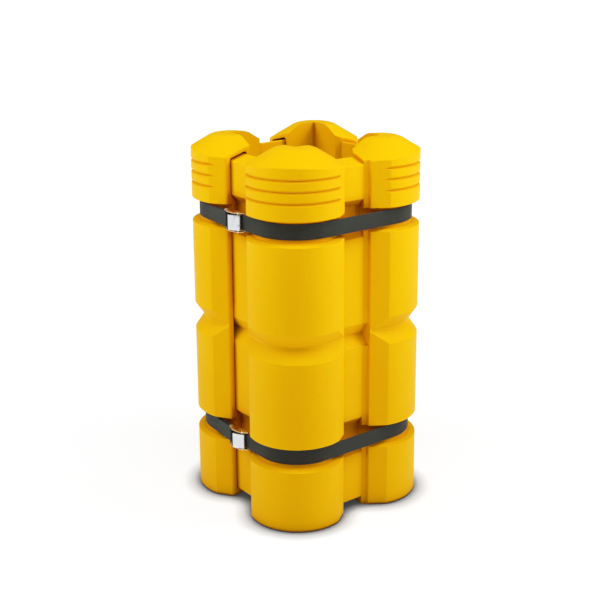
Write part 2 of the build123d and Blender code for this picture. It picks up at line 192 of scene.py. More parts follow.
class BuckleSettings(bpy.types.PropertyGroup):
    """Edges and finish of the cam buckles."""

    steel: colour("Plated steel", "Bright zinc over steel", "CDCFD2")
    shade: colour("Plating shade", "Zinc crystals that lie darker", "B4B8BC")
    warm: colour("Passivated steel", "Zinc with a yellow passivation", "DDBE86")
    warm_shade: colour("Passivated shade", "Yellow zinc crystals that lie darker", "C49F66")
    spring: colour("Spring steel", "Bright drawn wire", "8E9094")
    spring_shade: colour("Spring shade", "Drawn wire where the die left it dull", "707275")
    crystal: length("Crystal", "Width of a zinc crystal", 3.5)
    cloud: length("Cloud", "Width of the cloudy changes in the plating", 9.0)
    line: length("Drawing line", "Length of a drawing line", 16.6667)
    line_width: length("Line width", "Width of a drawing line, coarser than the real one", 0.625)
    line_depth: length("Line depth", "Depth of a drawing line", 0.02)
    edge: length("Edge", "Rounding of the stamped edges", 0.45)
    narrow: share("Lever width", "Lever's share of the width between the side plates", 0.92)
    rim: length("Rim", "Width of the lever's raised rim", 2.2)
    panel: length("Panel", "Depth of the pressed panel on the lever", 0.4)
    hub: length("Hub", "Outer radius of the sheet that closes the lever over the spring", 7.1)
    hub_sheet: length("Hub sheet", "Thickness of that sheet", 1.9)
    hub_width: length("Hub width", "Length of that sheet along the pin", 11.5)
    hub_start: angle("Hub start", "Where that sheet starts", -80)
    hub_sweep: angle("Hub sweep", "How far that sheet goes round", 150)
    cam_right: length("Cam right", "Hub's middle, right of the pin", 2.0)
    cam_in: length("Cam in", "Hub's middle, inside the pin", 0.7)
    wire: length("Wire", "Diameter of the spring wire", 1.2)
    coil: length("Coil", "Radius of the spring's coil, to the middle of the wire", 3.8)
    pitch: length("Pitch", "From turn to turn of the spring", 1.8)
    leg: length("Leg", "Length of the spring's legs", 9.0)
    wound: angle("Wound", "Turned from leg to leg", 1222)


class StageSettings(bpy.types.PropertyGroup):
    """Camera, floor and lights."""

    azimuth: angle("Azimuth", "Camera's side", 52.60)
    yaw: angle("Yaw", "Turned off the axis", -0.27)
    pitch: angle("Pitch", "Below the horizon", 15.05)
    roll: angle("Roll", "Tilt of the picture", -0.34)
    distance: length("Distance", "From the column's axis", 3194.7)
    height: length("Height", "Above the floor", 1598.9)
    focus: strength("Focal length", "In pixels of the picture", 1146.2)
    centre: strength("Centre row", "Picture row of the lens axis", 246.0)
    floor: colour("Floor", "Pale studio floor", "A8A8A8")
    speck: length("Speck", "Width of the floor's matt specks", 33.333)
    # Glow and dim glow are painted light through the floor, dimmer near the object as painted shade; contact
    # and contact shade paint a contact shadow.
    glow: strength("Floor glow", "Light through the floor, away from the object", 1.22)
    dim: strength("Dim glow", "Light through the floor, round the object", 0.86)
    near: length("Glow starts", "Floor is dim this near to the axis", 320.0)
    far: length("Glow is full", "Floor glows fully this far from the axis", 3500.0)
    painted_shadow_reach: length("Contact", "Floor nearer to the object than this lies in its shade", 60.0)
    shade: share("Contact shade", "Floor's share of light where it meets the object", 0.05)
    wall: strength("Walls", "White light from all round", 0.09)
    reach: length("Reach", "Softboxes from the object's middle", 3000.0)
    middle: length("Middle", "Height that the softboxes are aimed at", 550.0)
    box: length("Softbox", "Side of a softbox", 1400.0)
    beside: angle("Beside", "Low and high softboxes off the camera's side", 80)
    above: angle("Above", "Top softboxes off the camera's side", 20)
    low_rise: angle("Low rise", "Low softboxes above the level", 20)
    high_rise: angle("High rise", "High softboxes above the level", 42)
    top_rise: angle("Top rise", "Top softboxes above the level", 64)
    left: softbox("Low left softbox", 13.5)
    left_high: softbox("High left softbox", 41.5)
    left_top: softbox("Top left softbox", 21.0)
    right_top: softbox("Top right softbox", 24.0)
    right_high: softbox("High right softbox", 55.0)
    right: softbox("Low right softbox", 18.5)


def fill(tree, node, sockets):
    """Give a node's sockets values or links."""
    for key, value in sockets.items():
        if isinstance(value, bpy.types.NodeSocket):
            tree.links.new(value, node.inputs[key])
        else:
            node.inputs[key].default_value = value


def add(tree, kind, sockets=None, **settings):
    """Add a node with its properties and its sockets."""
    node = tree.nodes.new(kind)
    for key, value in settings.items():
        setattr(node, key, value)
    fill(tree, node, sockets or {})
    return node


def new_material(name):
    """Material with an empty tree but for its shader: (material, tree, shader)."""
    material = bpy.data.materials.new(name)
    material.use_nodes = True
    tree = material.node_tree
    return material, tree, tree.nodes["Principled BSDF"]


def moulded_polyethylene(look, levels):
    """Polyethylene moulded in a rotating oven: pigment right through, a soft satin skin with
    faint orange peel, and rubbed spots. Little of the light is mirrored. Gaps, grooves and the
    notches at the straps' levels are painted orange as shade, in place of the light that goes
    to and fro between close walls."""
    material, tree, shader = new_material("moulded_polyethylene")
    place = add(tree, "ShaderNodeTexCoord").outputs["Object"]
    drift = add(tree, "ShaderNodeTexNoise", {"Vector": place, "Scale": 1 / look.cloud, "Detail": 3.0})
    tone = add(tree, "ShaderNodeMix", {
        0: drift.outputs["Fac"], 6: (*look.deep, 1), 7: (*look.pigment, 1)}, data_type="RGBA")
    rubs = add(tree, "ShaderNodeTexNoise", {
        "Vector": place, "Scale": 1 / look.rub, "Detail": 6.0, "Roughness": 0.65})
    rubbed = add(tree, "ShaderNodeMapRange", {
        "Value": rubs.outputs["Fac"], "From Min": 0.60, "From Max": 0.76, "To Max": 0.35})
    tone = add(tree, "ShaderNodeMix", {
        0: rubbed.outputs["Result"], 6: tone.outputs[2], 7: (*look.scuff, 1)}, data_type="RGBA")

    # Distances from the column's middle planes, then from the waist and from both straps; they mask the
    # painted shade in the grooves and notches.
    outward = add(tree, "ShaderNodeVectorMath", {0: place}, operation="ABSOLUTE")
    axes = add(tree, "ShaderNodeSeparateXYZ", {0: outward.outputs["Vector"]})
    above = add(tree, "ShaderNodeVectorMath", {
        0: axes.outputs["Z"], 1: (look.waist, *levels)}, operation="SUBTRACT")
    off = add(tree, "ShaderNodeVectorMath", {0: above.outputs["Vector"]}, operation="ABSOLUTE")
    waist, upper, lower = add(tree, "ShaderNodeSeparateXYZ", {0: off.outputs["Vector"]}).outputs
    painted_groove_shade_share = add(tree, "ShaderNodeMapRange", {
        "Value": waist, "From Min": look.painted_groove_shade_start, "From Max": look.painted_groove_shade_full, "To Max": 0.8})
    sides = axes.outputs["X"], axes.outputs["Y"]
    painted_notch_limits = (
        ("MAXIMUM", sides, look.painted_notch_reach),
        ("MINIMUM", sides, look.painted_notch_side),
        ("MINIMUM", (upper, lower), look.painted_notch_rise),
    )
    painted_notch_shade_share = 1.0
    for (operation, (one, other), limit), fade in zip(painted_notch_limits, PAINTED_NOTCH_SHADE_FADES):
        value = add(tree, "ShaderNodeMath", {0: one, 1: other}, operation=operation)
        painted_notch_shade_share = add(tree, "ShaderNodeMapRange", {
            "Value": value.outputs[0], "From Min": limit + fade, "From Max": limit,
            "To Max": painted_notch_shade_share}).outputs["Result"]

    # Painted shade: how open a spot is where the orange starts, where it is full, and how full it gets.
    for width, opened, closed, most in (
        (look.painted_crevice_width, 0.55, 0.15, 0.9),
        (look.painted_groove_width, 0.95, 0.55, painted_groove_shade_share.outputs["Result"]),
        (look.painted_notch_width, 0.90, 0.42, painted_notch_shade_share),
    ):
        around = add(tree, "ShaderNodeAmbientOcclusion", {"Distance": width}, samples=6)
        depth = add(tree, "ShaderNodeMapRange", {
            "Value": around.outputs["AO"], "From Min": opened, "From Max": closed, "To Max": most})
        tone = add(tree, "ShaderNodeMix", {
            0: depth.outputs["Result"], 6: tone.outputs[2], 7: (*look.painted_crevice_shade, 1)}, data_type="RGBA")

    peel = add(tree, "ShaderNodeTexNoise", {"Vector": place, "Scale": 1 / look.peel, "Detail": 1.0})
    grain = add(tree, "ShaderNodeTexNoise", {"Vector": place, "Scale": 1 / look.grain, "Detail": 2.0})
    skin = add(tree, "ShaderNodeMapRange", {
        "Value": peel.outputs["Fac"], "To Min": look.smoothest, "To Max": look.roughest})
    ripple = add(tree, "ShaderNodeBump", {
        "Height": peel.outputs["Fac"], "Distance": look.peel_depth, "Strength": 0.5})
    fine = add(tree, "ShaderNodeBump", {
        "Height": grain.outputs["Fac"], "Distance": look.grain_depth, "Strength": 0.6,
        "Normal": ripple.outputs["Normal"]})
    fill(tree, shader, {
        "Base Color": tone.outputs[2], "Roughness": skin.outputs["Result"], "Normal": fine.outputs["Normal"],
        "IOR": 1.51, "Specular IOR Level": 0.02, "Specular Tint": (*look.gloss, 1)})
    return material


def woven_polyester(look, width):
    """Heavy polyester webbing: a herringbone of diagonal ribs between plain selvedges, matt with
    a low sheen. The real ribs are half as long, and are drawn longer so that they show."""
    material, tree, shader = new_material("woven_polyester")
    weave = add(tree, "ShaderNodeUVMap", uv_map="weave")
    axes = add(tree, "ShaderNodeSeparateXYZ", {0: weave.outputs["UV"]})
    along, across = axes.outputs["X"], axes.outputs["Y"]
    zigzag = add(tree, "ShaderNodeMath", {0: across, 1: look.chevron}, operation="PINGPONG")
    slant = add(tree, "ShaderNodeMath", {0: along, 1: zigzag.outputs[0]}, operation="ADD")
    rib_phase = add(tree, "ShaderNodeMath", {0: slant.outputs[0], 1: tau / look.rib}, operation="MULTIPLY")
    rib = add(tree, "ShaderNodeMath", {0: rib_phase.outputs[0]}, operation="SINE")
    warp_phase = add(tree, "ShaderNodeMath", {0: across, 1: 2 * tau / look.chevron}, operation="MULTIPLY")
    warp = add(tree, "ShaderNodeMath", {0: warp_phase.outputs[0]}, operation="COSINE")
    cloth = add(tree, "ShaderNodeMath", {
        0: warp.outputs[0], 1: look.warp, 2: rib.outputs[0]}, operation="MULTIPLY_ADD")
    off = add(tree, "ShaderNodeMath", {0: across}, operation="ABSOLUTE")
    plain = width / 2 - look.selvedge
    inside = add(tree, "ShaderNodeMapRange", {
        "Value": off.outputs[0], "From Min": plain, "From Max": plain + look.selvedge_fade,
        "To Min": 1.0, "To Max": 0.25})
    relief = add(tree, "ShaderNodeMath", {
        0: cloth.outputs[0], 1: inside.outputs["Result"]}, operation="MULTIPLY")
    crest = 1 + look.warp
    height = add(tree, "ShaderNodeMapRange", {
        "Value": relief.outputs[0], "From Min": -crest, "From Max": crest})
    place = add(tree, "ShaderNodeTexCoord").outputs["Object"]
    # This noise sets the roughness of the worn patches and where the rib crests get their painted highlight.
    wear_and_sheen = add(tree, "ShaderNodeTexNoise", {"Vector": place, "Scale": 1 / look.wear_and_sheen, "Detail": 4.0})
    lift = add(tree, "ShaderNodeMath", {
        0: height.outputs["Result"], 1: wear_and_sheen.outputs["Fac"]}, operation="MULTIPLY")
    # Painted highlight on the rib crests.
    tone = add(tree, "ShaderNodeMix", {
        0: lift.outputs[0], 6: (*look.yarn, 1), 7: (*look.painted_crest_highlight, 1)}, data_type="RGBA")
    matt = add(tree, "ShaderNodeMapRange", {"Value": wear_and_sheen.outputs["Fac"], "To Min": 0.50, "To Max": 0.72})
    fibre = add(tree, "ShaderNodeTexNoise", {"Vector": place, "Scale": 1 / look.fibre, "Detail": 2.0})
    fuzz = add(tree, "ShaderNodeBump", {
        "Height": fibre.outputs["Fac"], "Distance": look.fuzz, "Strength": 0.5})
    bump = add(tree, "ShaderNodeBump", {
        "Height": height.outputs["Result"], "Distance": look.rib_depth, "Strength": 0.8,
        "Normal": fuzz.outputs["Normal"]})
    fill(tree, shader, {
        "Base Color": tone.outputs[2], "Roughness": matt.outputs["Result"], "Normal": bump.outputs["Normal"],
        "IOR": 1.55, "Specular IOR Level": 0.2, "Sheen Weight": 0.05, "Sheen Roughness": 0.45})
    return material


def bonded_thread(look):
    """Bonded polyester thread, two plies twisted: a little lighter and glossier than the webbing."""
    material, tree, shader = new_material("bonded_thread")
    place = add(tree, "ShaderNodeTexCoord").outputs["Object"]
    ply = add(tree, "ShaderNodeTexWave", {
        "Vector": place, "Scale": WAVE / look.twist, "Distortion": 1.5}, bands_direction="DIAGONAL")
    tone = add(tree, "ShaderNodeMix", {
        0: ply.outputs["Fac"], 6: (*look.shade, 1), 7: (*look.thread, 1)}, data_type="RGBA")
    bump = add(tree, "ShaderNodeBump", {
        "Height": ply.outputs["Fac"], "Distance": look.ply_depth, "Strength": 0.6})
    fill(tree, shader, {
        "Base Color": tone.outputs[2], "Normal": bump.outputs["Normal"], "Roughness": 0.5})
    return material


def zinc_plated_steel(name, look, light, dark):
    """Stamped steel with zinc plating, left bright or passivated yellow: fine drawing lines along
    the strip and a cloudy change from crystal to crystal."""
    material, tree, shader = new_material(name)
    place = add(tree, "ShaderNodeTexCoord").outputs["Object"]
    drawn = add(tree, "ShaderNodeMapping", {
        "Vector": place, "Scale": (1 / look.line, 1 / look.line, 1 / look.line_width)})
    lines = add(tree, "ShaderNodeTexNoise", {"Vector": drawn.outputs[0], "Scale": 1.0, "Detail": 3.0})
    crystal = add(tree, "ShaderNodeTexVoronoi", {"Vector": place, "Scale": 1 / look.crystal})
    blur = add(tree, "ShaderNodeTexNoise", {"Vector": place, "Scale": 1 / look.cloud, "Detail": 2.0})
    cloud = add(tree, "ShaderNodeMath", {
        0: crystal.outputs["Distance"], 1: blur.outputs["Fac"]}, operation="MULTIPLY")
    tone = add(tree, "ShaderNodeMix", {
        0: cloud.outputs[0], 6: (*light, 1), 7: (*dark, 1)}, data_type="RGBA")
    satin = add(tree, "ShaderNodeMapRange", {"Value": lines.outputs["Fac"], "To Min": 0.20, "To Max": 0.36})
    bump = add(tree, "ShaderNodeBump", {
        "Height": lines.outputs["Fac"], "Distance": look.line_depth, "Strength": 0.35})
    fill(tree, shader, {
        "Base Color": tone.outputs[2], "Roughness": satin.outputs["Result"],
        "Normal": bump.outputs["Normal"], "Metallic": 1.0})
    return material


def drawn_spring_steel(look):
    """Spring wire drawn through a die: darker than the plating, with dull and bright spots."""
    material, tree, shader = new_material("drawn_spring_steel")
    place = add(tree, "ShaderNodeTexCoord").outputs["Object"]
    draw = add(tree, "ShaderNodeTexNoise", {"Vector": place, "Scale": 1 / look.wire, "Detail": 4.0})
    tone = add(tree, "ShaderNodeMix", {
        0: draw.outputs["Fac"], 6: (*look.spring_shade, 1), 7: (*look.spring, 1)}, data_type="RGBA")
    satin = add(tree, "ShaderNodeMapRange", {"Value": draw.outputs["Fac"], "To Min": 0.25, "To Max": 0.45})
    fill(tree, shader, {
        "Base Color": tone.outputs[2], "Roughness": satin.outputs["Result"], "Metallic": 1.0})
    return material


def studio_floor(look):
    """Pale floor lit from above, with a painted glow through itself that is dimmer near the object as
    painted shade, and a painted contact shadow where it comes near the object.
    """
    material, tree, shader = new_material("studio_floor")
    place = add(tree, "ShaderNodeTexCoord").outputs["Object"]
    speck = add(tree, "ShaderNodeTexNoise", {"Vector": place, "Scale": 1 / look.speck, "Detail": 2.0})
    matt = add(tree, "ShaderNodeMapRange", {"Value": speck.outputs["Fac"], "To Min": 0.85, "To Max": 0.95})
    # Painted contact shadow: the floor's colour and glow fall where little of the sky around it is open.
    closed = add(tree, "ShaderNodeAmbientOcclusion", {"Distance": look.painted_shadow_reach}, samples=8)
    lit = add(tree, "ShaderNodeMapRange", {
        "Value": closed.outputs["AO"], "From Min": 0.45, "From Max": 1.0,
        "To Min": look.shade, "To Max": 1.0})
    tone = add(tree, "ShaderNodeMix", {
        0: lit.outputs["Result"], 6: (0, 0, 0, 1), 7: (*look.floor, 1)}, data_type="RGBA")
    # Painted glow through the floor, dimmer towards the object.
    away = add(tree, "ShaderNodeVectorMath", {0: place}, operation="LENGTH")
    glow = add(tree, "ShaderNodeMapRange", {
        "Value": away.outputs["Value"], "From Min": look.near, "From Max": look.far,
        "To Min": look.dim, "To Max": look.glow})
    painted_glow_with_shadow = add(tree, "ShaderNodeMath", {
        0: lit.outputs["Result"], 1: glow.outputs["Result"]}, operation="MULTIPLY")
    fill(tree, shader, {
        "Base Color": tone.outputs[2], "Roughness": matt.outputs["Result"], "Specular IOR Level": 0.0,
        "Emission Color": (1, 1, 1, 1), "Emission Strength": painted_glow_with_shadow.outputs[0]})
    return material


def clear_selection():
    """Leave nothing selected before a piece is made."""
    if bpy.context.mode != "OBJECT":
        bpy.ops.object.mode_set(mode="OBJECT")
    bpy.ops.object.select_all(action="DESELECT")


def take(piece):
    """Select one piece alone and make it active."""
    clear_selection()
    piece.select_set(True)
    bpy.context.view_layer.objects.active = piece


def give_material(piece, material):
    """Leave a piece with one material."""
    piece.data.materials.clear()
    piece.data.materials.append(material)


def finish_piece(piece, material, smooth=40):
    """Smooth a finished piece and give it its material."""
    take(piece)
    bpy.ops.object.shade_smooth_by_angle(angle=radians(smooth))
    give_material(piece, material)


def apply_modifier(piece, kind, **settings):
    """Add a modifier with its settings and apply it."""
    modifier = piece.modifiers.new(kind.title(), kind)
    for key, value in settings.items():
        setattr(modifier, key, value)
    bpy.context.view_layer.objects.active = piece
    bpy.ops.object.modifier_apply(modifier=modifier.name)


def middle(node):
    """Middle of a CAD node's box."""
    low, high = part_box(node)
    return (low + high) / 2


def strap_size(strap):
    """A strap as its CAD bends have it: middle of its front bend, outer radius, thickness, width."""
    low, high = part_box(f"{strap}_strap_front_bend")
    inner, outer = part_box(f"{strap}_strap_front_right_span")
    return low.x, high.x - low.x, outer.x - inner.x, high.z - low.z


def run_web(name, look, place, heading, level, size, moves, laid=0.0):
    """Webbing extruded and spun along a flat path. A move is (length, 0) for a straight run or
    (radius, turn) for a bend, counterclockwise where the turn is positive."""
    thick, width = size
    clear_selection()
    bpy.ops.mesh.primitive_plane_add(
        size=1, location=(*place, level), rotation=(QUARTER, 0, heading + QUARTER))
    piece = bpy.context.active_object
    piece.name = name
    piece.scale = (thick, width, 1)
    bpy.ops.object.transform_apply(location=True, rotation=True, scale=True)
    bpy.ops.object.mode_set(mode="EDIT")
    bpy.ops.mesh.select_all(action="SELECT")
    bpy.ops.mesh.bevel(offset=look.rounding, segments=3, affect="VERTICES")
    piece.update_from_editmode()
    around = len(piece.data.vertices)
    along = [laid]
    spot = Vector(place)
    for reach, turn in moves:
        ahead = Vector((1, 0))
        ahead.rotate(Matrix.Rotation(heading, 2))
        if turn == 0:
            steps = max(1, round(reach / look.stride))
            step = reach / steps
            for _ in range(steps):
                bpy.ops.mesh.extrude_region_move(TRANSFORM_OT_translate={"value": (*(ahead * step), 0)})
                along.append(along[-1] + step)
            spot = spot + ahead * reach
            continue
        steps = max(4, round(look.steps * abs(turn) / QUARTER))
        side = 1 if turn > 0 else -1
        centre = spot + side * reach * Vector((-ahead.y, ahead.x))
        bpy.ops.mesh.spin(steps=steps, angle=-turn, center=(*centre, level), axis=(0, 0, 1))
        along.extend(along[-1] + reach * abs(turn) * step / steps for step in range(1, steps + 1))
        arm = spot - centre
        arm.rotate(Matrix.Rotation(turn, 2))
        spot = centre + arm
        heading += turn
    bpy.ops.mesh.select_all(action="SELECT")
    bpy.ops.mesh.normals_make_consistent(inside=False)
    bpy.ops.object.mode_set(mode="OBJECT")
    mesh = piece.data
    if len(mesh.vertices) != around * len(along):
        raise RuntimeError(f"{name}: the weave can't follow {len(mesh.vertices)} points")
    weave = mesh.uv_layers.new(name="weave")
    for loop in mesh.loops:
        up = mesh.vertices[loop.vertex_index].co.z - level
        weave.data[loop.index].uv = (along[loop.vertex_index // around], up)
    return piece, along[-1]


def slip_up(web, slip, until):
    """Draw the webbing left of a point aside, most at its tip."""
    take(web)
    rows = sorted({round(vertex.co.x, 5) for vertex in web.data.vertices if vertex.co.x < until})
    for row in rows:
        bpy.ops.object.mode_set(mode="EDIT")
        bpy.ops.mesh.select_mode(type="VERT")
        bpy.ops.mesh.select_all(action="DESELECT")
        bpy.ops.object.mode_set(mode="OBJECT")
        for vertex in web.data.vertices:
            vertex.select = round(vertex.co.x, 5) == row
        bpy.ops.object.mode_set(mode="EDIT")
        bpy.ops.transform.translate(value=Vector(slip) * ((until - row) / (until - rows[0])) ** 2)
    bpy.ops.object.mode_set(mode="OBJECT")


def sewn_path(strap, look):
    """Moves of the left bend, out to the anchor bar, round it and back; the lean of the straight
    run; and the bar's middle."""
    centre, outer, thick, _ = strap_size(strap)
    inner = outer - thick
    bar = middle(f"{strap}_buckle_anchor_bar")
    across, out = bar.x + centre, -bar.y - centre
    reach = hypot(across, out)
    lean = atan2(across, out) - acos(inner / reach)
    straight = sqrt(reach ** 2 - inner ** 2)
    wrap = look.bar / 2 + look.slack + thick / 2
    part = sqrt((look.flare + wrap) ** 2 - (look.flare + thick / 2) ** 2)
    swing = asin(part / (look.flare + wrap))
    moves = [
        (inner + thick / 2, QUARTER + lean), (straight - part, 0), (look.flare, -swing),
        (wrap, pi + 2 * swing), (look.flare, -swing), (look.seam - part, 0),
    ]
    return moves, lean, bar


class PROTECTOR_OT_segments(bpy.types.Operator):
    """Give the four corner segments their moulded skin"""

    bl_idname = "protector.segments"
    bl_label = "Mould the segments"

    def execute(self, context):
        levels = [middle(f"{strap}_strap_front_bend").z for strap in STRAPS]
        skin = moulded_polyethylene(context.scene.protector_moulding, levels)
        for corner in CORNERS:
            give_material(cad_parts[f"{corner}_segment"], skin)
        return {"FINISHED"}


class PROTECTOR_OT_webbing(bpy.types.Operator):
    """Lay both straps through the channels, each span drawn out between two segments"""

    bl_idname = "protector.webbing"
    bl_label = "Lay the webbing"

    def execute(self, context):
        look = context.scene.protector_webbing
        cloth = woven_polyester(look, strap_size(STRAPS[0])[3])
        for strap in STRAPS:
            centre, outer, thick, width = strap_size(strap)
            level = middle(f"{strap}_strap_front_bend").z
            bend = outer - thick / 2
            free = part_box(f"{strap}_strap_running_end")[0].x
            if strap == "lower":
                free -= look.tail
            turn, span = (bend, QUARTER), (2 * centre, 0)
            line = centre + bend
            laid = 0.0
            for index, corner in enumerate(CORNERS):
                place = Vector((centre, -line))
                place.rotate(Matrix.Rotation(index * QUARTER, 2))
                route = sewn_path(strap, look)[0] if corner == "left" else [turn, span]
                nodes = [f"{strap}_strap_{corner}_bend"]
                if corner == "front":
                    place.x = free
                    route = [(centre - free, 0), *route]
                    nodes.append(f"{strap}_strap_running_end")
                if corner == "left":
                    nodes.append(f"{strap}_strap_sewn_end")
                else:
                    beyond = CORNERS[index + 1]
                    nodes.append(f"{strap}_strap_{corner}_{beyond}_span")
                web, laid = run_web(
                    f"{strap}_webbing_{corner}", look, place, index * QUARTER, level, (thick, width),
                    route, laid)
                if corner == "front" and strap == "lower":
                    slip_up(web, (0, look.tuck, look.lift), middle(f"{strap}_buckle_anchor_bar").x)
                finish_piece(web, cloth)
                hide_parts(*nodes)
                if corner == "left":
                    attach(web, "left")
                    continue
                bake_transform(web)
        return {"FINISHED"}


class PROTECTOR_OT_stitching(bpy.types.Operator):
    """Sew a box and cross through both layers of each sewn end"""

    bl_idname = "protector.stitching"
    bl_label = "Sew the ends"

    def execute(self, context):
        look = context.scene.protector_stitch
        thread = bonded_thread(look)
        for strap in STRAPS:
            _, _, thick, width = strap_size(strap)
            _, lean, bar = sewn_path(strap, context.scene.protector_webbing)
            turn = Matrix.Rotation(lean, 4, "Z")
            stitch = self.one_stitch(f"{strap}_seam_stitching", look)
            copies = self.spots(look, width / 2 - look.margin)
            made = [stitch]
            for _ in copies[1:]:
                bpy.ops.object.duplicate()
                made.append(bpy.context.active_object)
            for piece, (spot, heading, face) in zip(made, copies):
                layer = Matrix.Translation((spot.x, -face * thick, spot.y))
                piece.matrix_world = (
                    Matrix.Translation(bar) @ turn @ layer @ Matrix.Rotation(-heading, 4, "Y"))
                piece.select_set(True)
            bpy.context.view_layer.objects.active = stitch
            bpy.ops.object.join()
            bpy.ops.object.transform_apply(location=True, rotation=True, scale=True)
            finish_piece(stitch, thread, smooth=60)
            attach(stitch, "left")
        return {"FINISHED"}

    def one_stitch(self, name, look):
        """A short length of thread along X, rounded where it dives."""
        clear_selection()
        bpy.ops.mesh.primitive_cylinder_add(
            vertices=8, radius=look.diameter / 2, depth=look.pitch - look.gap, rotation=(0, QUARTER, 0))
        stitch = bpy.context.active_object
        stitch.name = name
        bpy.ops.object.transform_apply(rotation=True)
        apply_modifier(
            stitch, "BEVEL", width=look.tip, segments=2, limit_method="ANGLE", angle_limit=radians(60))
        return stitch

    def spots(self, look, wide):
        """Each stitch's place and heading on the box and its cross, on both faces of the seam."""
        corners = [(-look.start, -wide), (-look.end, -wide), (-look.end, wide), (-look.start, wide)]
        lines = [(corners[index], corners[(index + 1) % 4]) for index in range(4)]
        lines += [(corners[0], corners[2]), (corners[1], corners[3])]
        spots = []
        for start, end in lines:
            run = Vector(end) - Vector(start)
            count = round(run.length / look.pitch)
            for index in range(count):
                spot = Vector(start) + run * (index + 0.5) / count
                spots += [(spot, atan2(run.y, run.x), face) for face in (-1, 1)]
        return spots


def copy_node(node, name):
    """Copy of a CAD node as one merged mesh, its flat faces whole again."""
    piece = bpy.data.objects.new(name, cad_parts[node].data.copy())
    bpy.context.scene.collection.objects.link(piece)
    take(piece)
    bpy.ops.mesh.customdata_custom_splitnormals_clear()
    bpy.ops.object.mode_set(mode="EDIT")
    bpy.ops.mesh.select_all(action="SELECT")
    bpy.ops.mesh.remove_doubles(threshold=WELD)
    bpy.ops.mesh.dissolve_limited(angle_limit=FLAT)
    bpy.ops.object.mode_set(mode="OBJECT")
    return piece


def round_edges(piece, width):
    """Round a stamped piece's edges."""
    apply_modifier(
        piece, "BEVEL", width=width, segments=3, limit_method="ANGLE", angle_limit=FOLD,
        use_clamp_overlap=True)


class PROTECTOR_OT_buckles(bpy.types.Operator):
    """Round the stamped edges of the buckles, press the levers' panels and plate the steel"""

    bl_idname = "protector.buckles"
    bl_label = "Finish the buckles"

    def execute(self, context):
        look = context.scene.protector_buckle
        steel = zinc_plated_steel("bright_zinc_plated_steel", look, look.steel, look.shade)
        warm = zinc_plated_steel("yellow_passivated_zinc", look, look.warm, look.warm_shade)
        for strap in STRAPS:
            for part in ("pivot_pin", "anchor_bar"):
                give_material(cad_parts[f"{strap}_buckle_{part}"], steel)
            plate = copy_node(f"{strap}_buckle_frame", f"{strap}_buckle_side_plates")
            round_edges(plate, look.edge)
            finish_piece(plate, warm, smooth=35)
            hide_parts(f"{strap}_buckle_frame")
            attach(plate, "left")
            thumb = copy_node(f"{strap}_buckle_lever", f"{strap}_buckle_thumb_lever")
            pin = middle(f"{strap}_buckle_pivot_pin")
            self.press(thumb, look)
            bpy.ops.object.mode_set(mode="EDIT")
            bpy.ops.mesh.select_all(action="SELECT")
            bpy.ops.transform.resize(value=(1, 1, look.narrow), center_override=pin)
            bpy.ops.object.mode_set(mode="OBJECT")
            round_edges(thumb, look.edge)
            self.close_hub(thumb, look, pin)
            finish_piece(thumb, steel, smooth=35)
            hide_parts(f"{strap}_buckle_lever")
            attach(thumb, f"{strap}_lever")
        return {"FINISHED"}

    def press(self, thumb, look):
        """Sink a panel inside the rim of each large outer face."""
        take(thumb)
        bpy.ops.object.mode_set(mode="EDIT")
        bpy.ops.mesh.select_mode(type="FACE")
        bpy.ops.mesh.select_all(action="DESELECT")
        bpy.ops.object.mode_set(mode="OBJECT")
        # The outer facets of the thumb look to the front and a little to the right.
        outer = [face for face in thumb.data.polygons if face.normal.y < -0.5 and face.normal.x > 0.1]
        largest = max(face.area for face in outer)
        for face in outer:
            face.select = face.area > 0.9 * largest
        bpy.ops.object.mode_set(mode="EDIT")
        bpy.ops.mesh.inset(thickness=look.rim, depth=0)
        bpy.ops.mesh.inset(thickness=look.panel, depth=-look.panel)
        bpy.ops.object.mode_set(mode="OBJECT")

    def close_hub(self, thumb, look, pin):
        """Roll a sheet over the slot between the lever's ears and join it to the lever."""
        cam = pin + Vector((look.cam_right, look.cam_in, 0))
        radius = look.hub - look.hub_sheet / 2
        start = cam + radius * Vector((cos(look.hub_start), sin(look.hub_start), 0))
        clear_selection()
        bpy.ops.mesh.primitive_plane_add(size=1, location=start, rotation=(QUARTER, 0, look.hub_start))
        sheet = bpy.context.active_object
        sheet.scale = (look.hub_sheet, look.hub_width, 1)
        bpy.ops.object.transform_apply(location=True, rotation=True, scale=True)
        bpy.ops.object.mode_set(mode="EDIT")
        bpy.ops.mesh.select_all(action="SELECT")
        bpy.ops.mesh.spin(steps=ROLLED, angle=-look.hub_sweep, center=cam, axis=(0, 0, 1))
        bpy.ops.mesh.select_all(action="SELECT")
        bpy.ops.mesh.normals_make_consistent(inside=False)
        bpy.ops.object.mode_set(mode="OBJECT")
        thumb.select_set(True)
        bpy.context.view_layer.objects.active = thumb
        bpy.ops.object.join()


